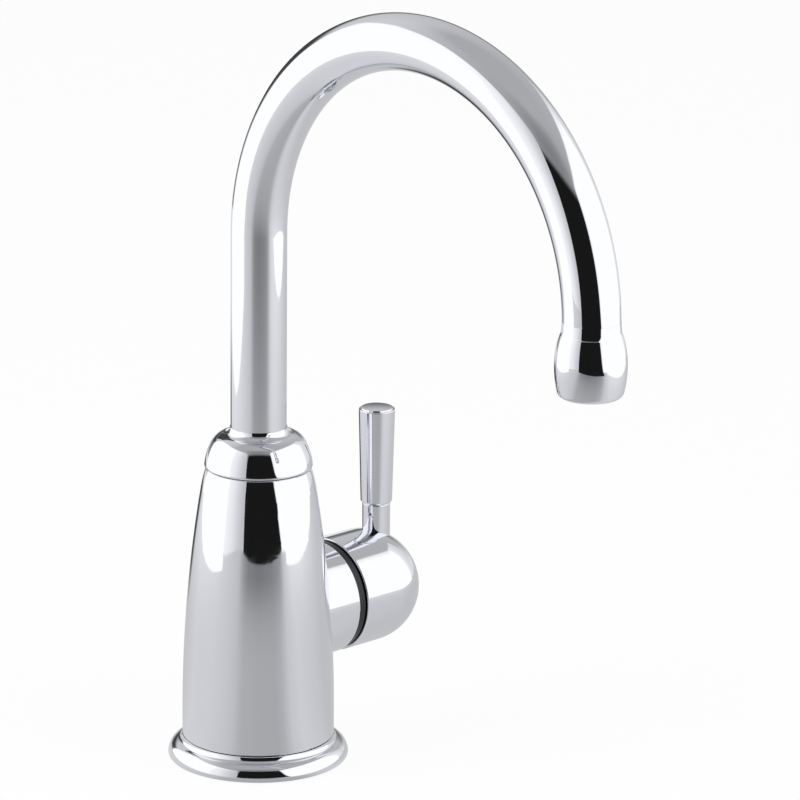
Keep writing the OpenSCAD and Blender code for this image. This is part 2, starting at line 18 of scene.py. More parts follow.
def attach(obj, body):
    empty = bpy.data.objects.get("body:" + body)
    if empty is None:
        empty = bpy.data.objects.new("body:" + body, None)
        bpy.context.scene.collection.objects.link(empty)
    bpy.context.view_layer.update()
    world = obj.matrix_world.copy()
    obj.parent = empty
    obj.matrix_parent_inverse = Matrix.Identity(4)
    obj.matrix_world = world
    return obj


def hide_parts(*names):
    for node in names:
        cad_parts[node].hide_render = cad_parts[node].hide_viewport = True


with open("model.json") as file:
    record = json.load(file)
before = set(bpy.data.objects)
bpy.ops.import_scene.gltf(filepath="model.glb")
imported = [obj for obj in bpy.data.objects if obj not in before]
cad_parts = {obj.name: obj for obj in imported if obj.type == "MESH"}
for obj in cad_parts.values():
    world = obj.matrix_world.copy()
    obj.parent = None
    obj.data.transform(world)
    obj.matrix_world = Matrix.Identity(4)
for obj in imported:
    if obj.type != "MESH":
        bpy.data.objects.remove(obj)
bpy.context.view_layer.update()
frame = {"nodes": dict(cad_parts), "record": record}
MM = 0.001

# %% [markdown]
# ## The camera
# The photograph was taken from slightly above and far away, with a long lens. The numbers
# come from fitting the outlines of the ring, body, spout and nozzle: where the camera
# stands, how far it looks down, and the small roll of the picture. Blender could also take
# a camera that is aimed by a constraint, but a plain turn keeps the roll.

# %% Place the camera
CAMERA_PLACE = Vector((-1132.48, -1235.45, 598.81)) * MM
CAMERA_TURN = radians(-43.884)
CAMERA_DIP = radians(16.368)
CAMERA_ROLL = radians(0.478)
SENSOR_WIDTH, FOCAL_LENGTH = 36, 276.31
bpy.ops.object.select_all(action="DESELECT")
bpy.ops.object.camera_add()
camera = bpy.context.object
camera.name = "studio_camera"
camera.data.sensor_width = SENSOR_WIDTH
camera.data.lens = FOCAL_LENGTH
camera.matrix_world = (Matrix.Translation(CAMERA_PLACE) @ Matrix.Rotation(CAMERA_TURN, 4, "Z")
                       @ Matrix.Rotation(pi / 2 - CAMERA_DIP, 4, "X")
                       @ Matrix.Rotation(CAMERA_ROLL, 4, "Z"))
bpy.context.scene.camera = camera
bpy.context.scene.view_settings.view_transform = "Standard"
print("camera stands", round(CAMERA_PLACE.length, 2), "m from the faucet")

# %% [markdown]
# ## Three small helpers
# Colours are written as sRGB hex values, as a paint program shows them, and one function
# turns them into the linear values that the sockets take. Another adds a node, sets its
# options and fills its inputs, either with a value or with the output of another node. The
# last gives a colour ramp its stops.

# %% Helpers for colours and nodes
def colour(code):
    """An sRGB hex colour as the linear values of a Blender socket."""
    parts = [int(code[i:i + 2], 16) / 255 for i in (1, 3, 5)]
    return (*(v / 12.92 if v <= 0.04045 else ((v + 0.055) / 1.055) ** 2.4 for v in parts), 1.0)


def add(tree, kind, inputs=None, **options):
    """Add a shader node, with its options and with values or links for its inputs."""
    made = tree.nodes.new("ShaderNode" + kind)
    for name, value in options.items():
        setattr(made, name, value)
    for socket, source in (inputs or {}).items():
        if isinstance(source, bpy.types.NodeSocket):
            tree.links.new(source, made.inputs[socket])
        else:
            made.inputs[socket].default_value = source
    return made


def fill_ramp(ramp, stops):
    """Give a colour ramp its stops, as pairs of position and linear colour."""
    while len(ramp.elements) < len(stops):
        ramp.elements.new(1.0)
    for element, (place, tint) in zip(ramp.elements, stops):
        element.position = place
        element.color = tint


print("mid grey is", round(colour("#808080")[0], 3), "in linear light")

# %% [markdown]
# ## Finish 1: chrome plate
# Chrome is electroplated over polished brass in a layer under a micrometre thick. It is a
# mirror with a faintly blue cast. Plating over a hand-polished casting is never optically
# flat: a slow waviness a few millimetres long bends straight reflections a little, and fine
# polishing leaves a haze that changes from place to place. A metallic Principled shader
# with a low roughness gives the mirror. Noise on Object coordinates gives the waviness and
# the haze, so both stay with the piece when it moves.

# %% Chrome
WAVE_LENGTH = 7 * MM
HAZE_LENGTH = 2.2 * MM
WAVE_STRENGTH = 0.01    # just enough to make long reflections swim a little
CHROME_TINT = "#ecedf3"


def finish(name, base, metallic, roughness):
    """A new Principled material with its constant values set on the shader itself."""
    made = bpy.data.materials.new(name)
    made.use_nodes = True
    shader = made.node_tree.nodes["Principled BSDF"]
    shader.inputs["Base Color"].default_value = colour(base)
    shader.inputs["Metallic"].default_value = metallic
    shader.inputs["Roughness"].default_value = roughness
    return made, made.node_tree, shader


# Polished chrome plate on brass: the eye gets crisp reflections with a slightly soft edge
chrome, tree, shader = finish("polished_chrome_plate", CHROME_TINT, 1.0, 0.03)
place = add(tree, "TexCoord")
haze = add(tree, "TexNoise", {"Vector": place.outputs["Object"], "Scale": 1 / HAZE_LENGTH,
                              "Detail": 3.0})
spread = add(tree, "MapRange", {"Value": haze.outputs["Fac"], "From Min": 0.3, "From Max": 0.7,
                                "To Min": 0.02, "To Max": 0.05})
tree.links.new(spread.outputs["Result"], shader.inputs["Roughness"])
wave = add(tree, "TexNoise", {"Vector": place.outputs["Object"], "Scale": 1 / WAVE_LENGTH,
                              "Detail": 1.0})
relief = add(tree, "Bump", {"Height": wave.outputs["Fac"], "Strength": WAVE_STRENGTH,
                              "Distance": MM})
tree.links.new(relief.outputs["Normal"], shader.inputs["Normal"])
print("made", chrome.name)

# %% [markdown]
# ## The other finishes
# Under the deck and inside the valve the faucet is bare brass, stainless steel, rubber,
# plastic and ceramic. These parts are turned, stamped or moulded, and each process leaves
# its own mark: fine rings on a turned face, a dull skin on rubber, an even sheen on a
# moulded plastic. The same noise idea is used with other lengths and depths.

# %% Metals and plastics under the chrome
def grained(name, base, metallic, rough_low, rough_high, grain, depth, stretch=(1, 1, 1)):
    """A finish whose roughness and relief follow one noise with grains of a real size."""
    made, tree, shader = finish(name, base, metallic, (rough_low + rough_high) / 2)
    place = add(tree, "TexCoord")
    stretched = add(tree, "Mapping", {"Vector": place.outputs["Object"], "Scale": stretch})
    noise = add(tree, "TexNoise", {"Vector": stretched.outputs["Vector"], "Scale": 1 / grain,
                                   "Detail": 4.0})
    spread = add(tree, "MapRange", {"Value": noise.outputs["Fac"], "From Min": 0.3,
                                    "From Max": 0.7, "To Min": rough_low, "To Max": rough_high})
    tree.links.new(spread.outputs["Result"], shader.inputs["Roughness"])
    relief = add(tree, "Bump", {"Height": noise.outputs["Fac"], "Strength": depth,
                                "Distance": MM / 10})
    tree.links.new(relief.outputs["Normal"], shader.inputs["Normal"])
    dark = add(tree, "MapRange", {"Value": noise.outputs["Fac"], "From Min": 0.3,
                                  "From Max": 0.7, "To Min": 0.93, "To Max": 1.05})
    tint = add(tree, "HueSaturation", {"Color": colour(base), "Value": dark.outputs["Result"]})
    tree.links.new(tint.outputs["Color"], shader.inputs["Base Color"])
    return made


# Machined brass: warm yellow, with tool rings round the Z axis as fine stretched grain
brass = grained("machined_brass", "#d9b36a", 1.0, 0.2, 0.34, 0.4 * MM, 0.25, (1, 1, 8))
# Stamped stainless steel: grey and softly brushed
steel = grained("stamped_stainless_steel", "#c6c5c1", 1.0, 0.22, 0.36, 0.5 * MM, 0.2, (1, 6, 1))
# Moulded nitrile rubber: nearly black, dull, with a faint skin
rubber = grained("moulded_nitrile_rubber", "#1d1d1e", 0.0, 0.55, 0.75, 0.6 * MM, 0.5)
# Moulded black acetal: black with a soft even sheen
black_plastic = grained("moulded_black_acetal", "#151516", 0.0, 0.28, 0.4, 0.5 * MM, 0.15)
# Moulded grey acetal of the cartridge and the aerator
grey_plastic = grained("moulded_grey_acetal", "#b3b5b7", 0.0, 0.35, 0.5, 0.5 * MM, 0.2)
# Natural acetal of the glide washer: milky white and waxy
white_acetal = grained("natural_acetal", "#ecebe4", 0.0, 0.3, 0.45, 0.7 * MM, 0.15)
# Lapped alumina of the valve discs: hard, white and almost glossy
ceramic = grained("lapped_alumina", "#f1f0ec", 0.0, 0.12, 0.2, 0.3 * MM, 0.05)
FINISHES = {"chrome_plate": chrome, "brass": brass, "stainless_steel": steel,
            "black_rubber": rubber, "black_plastic": black_plastic,
            "grey_plastic": grey_plastic, "white_acetal": white_acetal, "white_ceramic": ceramic}
print("finishes:", len(FINISHES))

# %% [markdown]
# ## Dress the CAD nodes
# The record names a material slot for every node. Each node keeps its mesh and gets the
# finish of its slot, so also the pieces that stay hidden inside have a real material.

# %% Finish for every CAD node
for row in frame["record"]["subparts"]:
    node = frame["nodes"][row["node"]]
    node.data.materials.clear()
    node.data.materials.append(FINISHES[row["material_slot"]])

# %% [markdown]
# ## Turned pieces
# Nearly every visible piece of this faucet was turned on a lathe or spun in a polishing
# jig, so its shape is one outline carried round an axis. A lathe modifier would do, but
# the outline is drawn here as by hand: a plane is merged to one point, the point is
# extruded along the outline, and the line is spun a full turn. Corners get small real
# roundings, because a mirror finish shows every edge as a thin bright or dark line. At the
# end the normals are weighted by face area, which keeps the large mirrors undisturbed by
# the tiny faces of the roundings.

# %% Helpers for outlines
def arc(middle, radius, start, end, steps):
    """Points of an arc in mm, from a start to an end angle in degrees."""
    angles = [radians(start + (end - start) * i / steps) for i in range(steps + 1)]
    return [(middle[0] + radius * cos(a), middle[1] + radius * sin(a)) for a in angles]


def rounded(corners, steps=6):
    """An outline whose corners are rounded where they have a third number, the radius."""
    made = []
    for i, corner in enumerate(corners):
        if len(corner) == 2:
            made.append(corner)
            continue
        here = Vector(corner[:2])
        back = (Vector(corners[i - 1][:2]) - here).normalized()
        ahead = (Vector(corners[(i + 1) % len(corners)][:2]) - here).normalized()
        half = back.angle(ahead) / 2
        middle = here + (back + ahead).normalized() * corner[2] / sin(half)
        first, last = (here + way * corner[2] / tan(half) - middle for way in (back, ahead))
        start = atan2(first.y, first.x)
        sweep = (atan2(last.y, last.x) - start + pi) % (2 * pi) - pi
        made += arc(middle, corner[2], degrees(start), degrees(start + sweep), steps)
    return made


def sweep(start, tilt, bends, steps=14):
    """An outline that goes up and inwards from a start, through arcs that join smoothly.

    The tilt is how far the surface faces upwards, in degrees. Each bend has the tilt that
    it reaches and its radius. A hollow bend, where the tilt gets smaller, turns about a
    centre outside the surface, and so does the sign of its radius."""
    made = [start]
    for reached, radius in bends:
        turn = radius if reached > tilt else -radius
        here = made[-1]
        middle = (here[0] - turn * cos(radians(tilt)), here[1] - turn * sin(radians(tilt)))
        made += arc(middle, turn, tilt, reached, steps)[1:]
        tilt = reached
    return made


print("a quarter arc in 3 steps:",
      [(round(x, 2), round(y, 2)) for x, y in arc((0, 0), 1, 0, 90, 3)])

# %% Helper that spins an outline
def clean(piece, smooth_under=30):
    """Merge doubles, turn the faces outwards, and shade smoothly except at real edges."""
    bpy.ops.object.mode_set(mode="EDIT")
    bpy.ops.mesh.select_all(action="SELECT")
    bpy.ops.mesh.remove_doubles(threshold=MM / 500)
    bpy.ops.mesh.normals_make_consistent(inside=False)
    bpy.ops.object.mode_set(mode="OBJECT")
    bpy.ops.object.shade_smooth_by_angle(angle=radians(smooth_under))
    weigh = piece.modifiers.new("weigh_normals", "WEIGHTED_NORMAL")
    weigh.keep_sharp = True
    bpy.ops.object.modifier_apply(modifier=weigh.name)


def line_of(name, places):
    """A new piece in edit mode: one point, extruded from place to place."""
    bpy.ops.object.select_all(action="DESELECT")
    bpy.ops.mesh.primitive_plane_add(size=MM)
    piece = bpy.context.object
    piece.name = piece.data.name = name
    bpy.ops.object.mode_set(mode="EDIT")
    bpy.ops.mesh.select_all(action="SELECT")
    bpy.ops.mesh.merge(type="CENTER")
    bpy.ops.transform.translate(value=places[0])
    for last, here in zip(places, places[1:]):
        bpy.ops.mesh.extrude_region_move(TRANSFORM_OT_translate={"value": here - last})
    return piece


def turned(name, outline, centre=(0, 0), along="Z", steps=192):
    """Spin an outline of (radius, height) in mm about an axis along Z or along X."""
    if along == "Z":
        places = [Vector((centre[0] + r, centre[1], h)) * MM for r, h in outline]
        middle, axis = (centre[0] * MM, centre[1] * MM, 0), (0, 0, 1)
    else:
        places = [Vector((h, centre[0], centre[1] + r)) * MM for r, h in outline]
        middle, axis = (0, centre[0] * MM, centre[1] * MM), (1, 0, 0)
    piece = line_of(name, places)
    bpy.ops.mesh.select_all(action="SELECT")
    bpy.ops.mesh.spin(steps=steps, angle=2 * pi, center=middle, axis=axis)
    bpy.ops.object.mode_set(mode="OBJECT")
    clean(piece)
    return piece


def stands_for(piece, body, slot_name, *nodes):
    """Let a piece ride on a body in place of its CAD nodes, with the finish of a slot."""
    piece.data.materials.clear()
    piece.data.materials.append(FINISHES[slot_name])
    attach(piece, body)
    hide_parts(*nodes)
    low, high = (Vector(v) for v in zip(*[(min(c), max(c)) for c in zip(*piece.bound_box)]))
    print(piece.name, len(piece.data.polygons), "faces,",
          [round(v / MM, 2) for v in high - low], "mm")


# %% [markdown]
# ## Base ring
# The ring is the skirt between the deck and the body. From the deck up it has a rounded
# bead, a shelf that faces almost straight up, and a small cove that ends right at the body.
# In chrome each of them shows as its own line of light: a black patch on the bead, a pale
# band on the shelf, and a thin black line in the cove. So the outline is drawn by how far it
# faces upwards, in arcs that join without a kink.

# %% Turn the base ring
RING_BORE, RING_FOOT, GASKET = 17.55, 25.56, (19, 22.25, 1.5)
FOOT_TILT = -45
RING_BENDS = [(11, 1.5), (30, 5.9), (77.5, 3.4), (30, 1.2), (9, 2.9), (90, 0.08)]
flank = sweep((RING_FOOT, 0), FOOT_TILT, RING_BENDS, 12)
inner, outer, deep = GASKET
outline = flank + rounded([flank[-1], (RING_BORE, flank[-1][1], 0.3), (RING_BORE, 0),
                           (inner, 0), (inner, deep), (outer, deep), (outer, 0), flank[0]])[1:]
ring = turned("base_ring_chrome", outline, steps=256)
stands_for(ring, "base", "chrome_plate", "base_ring")

# %% [markdown]
# ## Dome
# The dome turns on the body together with the spout. Its rim stands a little proud of the
# body's top edge, so a fine dark line runs round under it. Its side is a wide arc that
# leans in slightly from the rim, the shoulder turns over in a tighter one, and a cove
# sweeps up to the tube.

# %% Turn the dome
DOME_R, DOME_Z, RIM_R, RIM_TILT = 15.5, 87.0, 0.4, 6
DOME_BENDS = [(30, 18.0), (82, 4.0), (4, 2.45)]
DOME_BORE, SOCKET_R, DOME_ROOF = 8.05, 13.45, 90.1
rim = arc((DOME_R - RIM_R, DOME_Z + RIM_R), RIM_R, -90, RIM_TILT, 8)
outline = rim + sweep(rim[-1], RIM_TILT, DOME_BENDS, 30)[1:]
NECK_Z = outline[-1][1]
print("the dome meets the tube at", round(outline[-1][0], 2), round(NECK_Z, 2))
outline += [(DOME_BORE, NECK_Z), (DOME_BORE, DOME_ROOF), (SOCKET_R, DOME_ROOF),
            (SOCKET_R, DOME_Z), (DOME_R - RIM_R, DOME_Z)]
dome = turned("dome_chrome", outline, steps=224)
stands_for(dome, "spout", "chrome_plate", "spout_dome")

# %% [markdown]
# ## Nozzle
# The nozzle grows out of the tube in a small cove, widens in a long shoulder arc, then
# tucks in under a flatter belly arc to a rounded mouth. Inside, the tube's end sits on a
# step above the bore that holds the aerator.

# %% Turn the nozzle
REACH = 131.6
MOUTH_Z, MOUTH_EDGE, MOUTH_R, MOUTH_TILT = 135.95, 9.16, 1.9, -13
NOZZLE_BENDS = [(0, 32), (18, 28), (31, 1), (6, 2), (4, 8), (3, 135)]
TUBE_SEAT, AERATOR_R, STEP_R, STEP_Z = 8.0, 7.45, 6.8, 145.0
TUBE_R, TUBE_WALL, TUBE_FOOT, BEND_Z, TUBE_END = 8, 1.2, 90.1, 155.5, 147.5
mouth = arc((MOUTH_EDGE - MOUTH_R, MOUTH_Z + MOUTH_R), MOUTH_R, -90, MOUTH_TILT, 14)
outside = mouth + sweep(mouth[-1], MOUTH_TILT, NOZZLE_BENDS, 20)[1:]
NOZZLE_TOP = outside[-1][1]
outline = outside + [(TUBE_SEAT, NOZZLE_TOP), (TUBE_SEAT, TUBE_END), (STEP_R, TUBE_END),
                     (STEP_R, STEP_Z), (AERATOR_R, STEP_Z), (AERATOR_R, MOUTH_Z), outside[0]]
nozzle = turned("nozzle_chrome", outline, centre=(0, -REACH), steps=192)
stands_for(nozzle, "spout", "chrome_plate", "nozzle_housing")
print("the nozzle meets the tube at", [round(v, 2) for v in outside[-1]],
      "and is widest at", round(max(r for r, h in outside), 2))

# %% [markdown]
# ## Spout tube
# The spout is a 16 mm tube, bent in one half circle. A circle is extruded up the riser,
# spun round the arch and extruded down into the nozzle. Its wall then comes from Solidify,
# as the real one is a tube and not a bar.

# %% Bend the tube
bpy.ops.object.select_all(action="DESELECT")
bpy.ops.mesh.primitive_circle_add(vertices=160, radius=TUBE_R * MM,
                                  location=(0, 0, TUBE_FOOT * MM))
tube = bpy.context.object
bpy.ops.object.transform_apply(location=True)
tube.name = tube.data.name = "spout_tube_chrome"
bpy.ops.object.mode_set(mode="EDIT")
bpy.ops.mesh.select_all(action="SELECT")
RISER_STEPS = 8
for _ in range(RISER_STEPS):
    bpy.ops.mesh.extrude_region_move(
        TRANSFORM_OT_translate={"value": (0, 0, (BEND_Z - TUBE_FOOT) * MM / RISER_STEPS)})
bpy.ops.mesh.spin(steps=180, angle=pi, center=(0, -REACH / 2 * MM, BEND_Z * MM),
                  axis=(-1, 0, 0))
bpy.ops.mesh.extrude_region_move(
    TRANSFORM_OT_translate={"value": (0, 0, (TUBE_END - BEND_Z) * MM)})
bpy.ops.mesh.select_all(action="SELECT")
bpy.ops.mesh.remove_doubles(threshold=MM / 500)
bpy.ops.mesh.normals_make_consistent(inside=False)
bpy.ops.object.mode_set(mode="OBJECT")
wall = tube.modifiers.new("wall", "SOLIDIFY")
wall.thickness = TUBE_WALL * MM
wall.offset = -1
bpy.ops.object.modifier_apply(modifier=wall.name)
bpy.ops.object.shade_smooth_by_angle(angle=radians(30))
stands_for(tube, "spout", "chrome_plate", "spout_tube")

# %% [markdown]
# ## Handle
# The hub is a short cylinder with a hemispherical end, turned from one bar and hollow
# behind, with a boss for the valve's spindle. A thin black ring fills the gap between it
# and the body's collar. The lever is a slim stem with a slightly conical grip, whose end is
# a faintly domed cap.

# %% Turn the hub and the spacer ring
VALVE = (0, 42.2)
HUB_R, HUB_X, HUB_MID = 16.6, 27.9, 41.0
HOLLOW_R, HOLLOW_X, BOSS_R, BOSS_X, SPINDLE_R, SPINDLE_X = 13.8, 38, 8.5, 31, 4.05, 47.05
outline = (arc((0, HUB_MID), HUB_R, 90, 0, 56)
           + rounded([(HUB_R, HUB_MID - 1), (HUB_R, HUB_X, 0.4), (HOLLOW_R, HUB_X, 0.2),
                      (HOLLOW_R, HOLLOW_X), (BOSS_R, HOLLOW_X), (BOSS_R, BOSS_X),
                      (SPINDLE_R, BOSS_X), (SPINDLE_R, SPINDLE_X), (0, SPINDLE_X)]))
hub = turned("hub_chrome", outline, VALVE, "X", steps=224)
stands_for(hub, "handle", "chrome_plate", "handle_hub")
SPACER_BORE, SPACER_R, SPACER_START, SPACER_END = 13.45, 15.9, 24.9, 27.6
outline = rounded([(SPACER_BORE, SPACER_START, 0.1), (SPACER_R, SPACER_START, 0.35),
                   (SPACER_R, SPACER_END, 0.35), (SPACER_BORE, SPACER_END, 0.1)])
spacer = turned("spacer_ring_black", outline + outline[:1], VALVE, "X", steps=160)
stands_for(spacer, "base", "black_plastic", "spacer_ring")

# %% Turn the lever
LEVER = (46.5, 0)
CAP_TOP, CAP_ARC, CAP_LEAN = 95.2, 100, 2.6
PIN_R, PIN_FOOT, PIN_HEAD = 3, 48.2, 77.2
ROD_R, ROD_FOOT, ROD_HEAD = 4.06, 54.2, 66.2
outline = rounded([(0, PIN_FOOT), (PIN_R, PIN_FOOT, 0.3), (PIN_R, ROD_FOOT),
                   (ROD_R, ROD_FOOT, 0.2), (ROD_R, ROD_HEAD, 0.2), (PIN_R, ROD_HEAD),
                   (PIN_R, PIN_HEAD, 0.3), (0, PIN_HEAD)])
stem = turned("lever_stem_chrome", outline, LEVER, steps=128)
stands_for(stem, "handle", "chrome_plate", "lever_stem")
GRIP_BORE_TOP = 77.25
GRIP_FOOT, GRIP_LOW, GRIP_TOP, CAP_RIM = (3.9, 66.2), (4.6, 66.9), (5.29, 94.5), (4.9, 95.08)
outline = rounded([(0, GRIP_BORE_TOP), (PIN_R, GRIP_BORE_TOP), (PIN_R, ROD_HEAD),
                   (*GRIP_FOOT, 0.2), (*GRIP_LOW, 0.4), (*GRIP_TOP, 0.3), (*CAP_RIM, 0.25)])
outline += arc((0, CAP_TOP - CAP_ARC), CAP_ARC, 90 - CAP_LEAN, 90, 8)
grip = turned("lever_grip_chrome", outline, LEVER, steps=144)
stands_for(grip, "handle", "chrome_plate", "lever_grip")

# %% [markdown]
# ## Threaded shank
# Under the deck a brass shank carries a rolled thread of 1.5 mm pitch for the mounting
# nut. One tooth of the thread is drawn and a Screw modifier winds it down the shank. The
# ends are then cut flat, and a plain neck goes up into the body.

# %% Wind the thread
PITCH, CREST_R, ROOT_R = 1.5, 9.98, 9.1
SHANK_LOW, THREAD_TOP, SHANK_TOP = -60, -1.5, 21.5
ROOT_END, CREST_START, CREST_END, SHANK_NECK_R = 0.2, 0.71, 0.99, 9.95
tooth = [(ROOT_R, 0), (ROOT_R, ROOT_END), (CREST_R, CREST_START), (CREST_R, CREST_END),
         (ROOT_R, PITCH)]
turns = round((THREAD_TOP - SHANK_LOW) / PITCH) + 2
shank = line_of("shank_brass", [Vector((r, 0, SHANK_LOW - PITCH + h)) * MM for r, h in tooth])
bpy.ops.object.mode_set(mode="OBJECT")
screw = shank.modifiers.new("thread", "SCREW")
screw.angle = 2 * pi
screw.screw_offset = PITCH * MM
screw.iterations = turns
screw.steps = screw.render_steps = 72
screw.use_merge_vertices = True
screw.merge_threshold = MM / 500
bpy.ops.object.modifier_apply(modifier=screw.name)
bpy.ops.object.mode_set(mode="EDIT")
for level, keep_above in ((SHANK_LOW, True), (THREAD_TOP, False)):
    bpy.ops.mesh.select_all(action="SELECT")
    bpy.ops.mesh.bisect(plane_co=(0, 0, level * MM), plane_no=(0, 0, 1), use_fill=True,
                        clear_inner=keep_above, clear_outer=not keep_above)
bpy.ops.object.mode_set(mode="OBJECT")
clean(shank)
neck = turned("neck", rounded([(0, THREAD_TOP), (SHANK_NECK_R, THREAD_TOP),
                               (SHANK_NECK_R, SHANK_TOP, 0.3), (0, SHANK_TOP)]), steps=96)
bpy.ops.object.select_all(action="DESELECT")
neck.select_set(True)
shank.select_set(True)
bpy.context.view_layer.objects.active = shank
bpy.ops.object.join()
stands_for(shank, "base", "brass", "threaded_shank")

# %% [markdown]
# ## The room that the chrome reflects
# The chrome shows a studio: white softboxes left and right, a dark gap in front where the
# camera stands, a grey table, and grey above. A round tent 680 mm away carries those
# tones. It could be a picture of a room wrapped round the scene, but a painted tent needs
# no file, and its parts can be named. Only mirror rays see the tent. Its tones run by
# azimuth, measured from the camera's direction and positive to the right, and by height.

# %% Helpers for the tent
TENT_RADIUS = 680 * MM
CAMERA_AZIMUTH = atan2(CAMERA_PLACE.y, CAMERA_PLACE.x)
CHROME_LEVEL = colour(CHROME_TINT)[1]


def glow(tone):
    """The light that looks like this grey, 0 to 255, once the chrome has reflected it."""
    level = colour("#%02x%02x%02x" % (tone, tone, tone))[0] / CHROME_LEVEL
    return (level, level, level, 1.0)


def by_azimuth(tree, azimuth, stops):
    """A ramp of tones round the tent, from pairs of azimuth in degrees and tone."""
    ramp = add(tree, "ValToRGB", {"Fac": azimuth})
    fill_ramp(ramp.color_ramp, [((angle + 180) / 360, glow(tone)) for angle, tone in stops])
    return ramp.outputs["Color"]


def tent_places(tree):
    """Azimuth from 0 to 1, with the camera at 0.5, then the height and the floor radius."""
    place = add(tree, "TexCoord")
    faced = add(tree, "Mapping", {"Vector": place.outputs["Object"],
                                  "Rotation": (0, 0, -CAMERA_AZIMUTH)})
    axes = add(tree, "SeparateXYZ", {"Vector": faced.outputs["Vector"]})
    angle = add(tree, "Math", {0: axes.outputs["Y"], 1: axes.outputs["X"]}, operation="ARCTAN2")
    turn = add(tree, "MapRange", {"Value": angle.outputs["Value"], "From Min": -pi,
                                  "From Max": pi})
    flat = add(tree, "CombineXYZ", {"X": axes.outputs["X"], "Y": axes.outputs["Y"]})
    radius = add(tree, "VectorMath", {0: flat.outputs["Vector"]}, operation="LENGTH")
    return turn.outputs["Result"], axes.outputs["Z"], radius.outputs["Value"]


def edge_height(tree, azimuth, stops):
    """The height in metres of an edge that runs round the tent, from stops in mm."""
    ramp = add(tree, "ValToRGB", {"Fac": azimuth})
    fill_ramp(ramp.color_ramp, [((angle + 180) / 360, (high * MM, high * MM, high * MM, 1.0))
                                for angle, high in stops])
    return ramp.outputs["Color"]


def sums(tree, operation, first, second):
    """One step of arithmetic on two values or sockets."""
    return add(tree, "Math", {0: first, 1: second}, operation=operation).outputs["Value"]


def fade(tree, value, start, end):
    """A smooth step from 0 at start to 1 at end."""
    return add(tree, "MapRange", {"Value": value, "From Min": start, "From Max": end},
               interpolation_type="SMOOTHSTEP").outputs["Result"]


def blend_tones(tree, share, first, second):
    """The first tone where the share is 0 and the second where it is 1."""
    mix = add(tree, "Mix", {0: share, 6: first, 7: second}, data_type="RGBA")
    return mix.outputs[2]


def light_paint(name):
    """An emission material with its tree and shader, for a part of the room."""
    made = bpy.data.materials.new(name)
    made.use_nodes = True
    tree = made.node_tree
    tree.nodes.clear()
    light = add(tree, "Emission")
    add(tree, "OutputMaterial", {"Surface": light.outputs["Emission"]})
    return made, tree, light


def see_through(tree, light, share, clear_first=False):
    """Let rays pass a part of the room where the share is 1, or 0 with clear_first."""
    ends = [light.outputs["Emission"], add(tree, "BsdfTransparent").outputs["BSDF"]]
    if clear_first:
        ends.reverse()
    mix = add(tree, "MixShader", {0: share, 1: ends[0], 2: ends[1]})
    output = next(n for n in tree.nodes if n.type == "OUTPUT_MATERIAL")
    tree.links.new(mix.outputs["Shader"], output.inputs["Surface"])


def mirror_only(piece, paint):
    """Stage a part of the room that only mirror rays see."""
    piece.data.materials.clear()
    piece.data.materials.append(paint)
    piece.visible_camera = False
    piece.visible_diffuse = False
    piece.visible_shadow = False
    piece.visible_transmission = False
    piece.visible_volume_scatter = False


print("the camera stands at azimuth", round(degrees(CAMERA_AZIMUTH), 1))

# %% [markdown]
# The wall of the tent is white to the left and right, and fades to grey beside the dark
# gap and behind the faucet. The softboxes end at an arched edge, and above it the tent is
# grey. The front is darkest just over the dark gap and gets lighter towards the roof. Along
# its foot in front the wall takes the table's tone, so the table seems to curve up a little.
# Behind the faucet the wall has an open window, through which a far wall is seen.

# %% Wall and roof of the tent
WALL_TONES = [(-180, 250), (-168, 236), (-156, 196), (-147, 205), (-138, 253), (-78, 253),
              (-69, 250), (-60, 241), (-50, 230), (-40, 210), (-29, 188), (29, 225), (33, 240),
              (37, 255), (102, 254), (108, 248), (116, 240), (125, 229), (134, 216), (144, 200),
              (154, 190), (163, 188), (171, 215), (180, 250)]
HIGH_TONES = [(-180, 189), (-155, 198), (-140, 203), (-120, 202), (-100, 190), (-80, 178),
              (-62, 169), (-45, 160), (-33, 147), (-18, 130), (0, 125), (15, 130), (28, 142),
              (36, 155), (48, 163), (80, 171), (140, 173), (165, 181), (180, 189)]
EDGE_HEIGHTS = [(-180, 480), (-150, 530), (-135, 680), (-120, 810), (-100, 850), (-85, 845),
                (-65, 765), (-45, 680), (-30, 640), (-27, 300), (27, 300), (31, 640),
                (45, 750), (60, 850), (75, 885), (90, 875), (105, 815), (120, 720),
                (135, 590), (150, 480), (180, 480)]
FAR_TONES = [(-180, 205), (-150, 214), (-138, 240), (-110, 240), (-80, 224), (-62, 209),
             (-45, 197), (-33, 188), (-25, 152), (-17, 128), (0, 119), (20, 128), (30, 140),
             (36, 152), (43, 195), (55, 220), (75, 226), (100, 216), (120, 200), (145, 186),
             (180, 205)]
FOOT_HEIGHTS = [(-180, 0), (-60, 0), (-35, 24), (28, 24), (48, 15), (122, 15), (135, 0),
                (180, 0)]
WINDOW_TOPS = [(-180, 560), (-143, 560), (-139, 0), (139, 0), (143, 560), (180, 560)]
ROOF_TONE = 167
TENT_HEIGHT, ROOF_FADE = 1.8, (0.7, 1.75)       # metres, like every height in the room
EDGE_SOFTNESS, FOOT_SOFTNESS, WINDOW_SOFTNESS = 0.04, 0.002, 0.03
bpy.ops.object.select_all(action="DESELECT")
bpy.ops.mesh.primitive_cylinder_add(vertices=128, radius=TENT_RADIUS, depth=TENT_HEIGHT,
                                    location=(0, 0, TENT_HEIGHT / 2), end_fill_type="NGON")
tent = bpy.context.object
tent.name = "light_tent"
bpy.ops.object.transform_apply(location=True)
bpy.ops.object.mode_set(mode="EDIT")
bpy.ops.mesh.select_all(action="DESELECT")
bpy.ops.object.mode_set(mode="OBJECT")
for face in tent.data.polygons:
    face.select = face.center.z < MM
bpy.ops.object.mode_set(mode="EDIT")
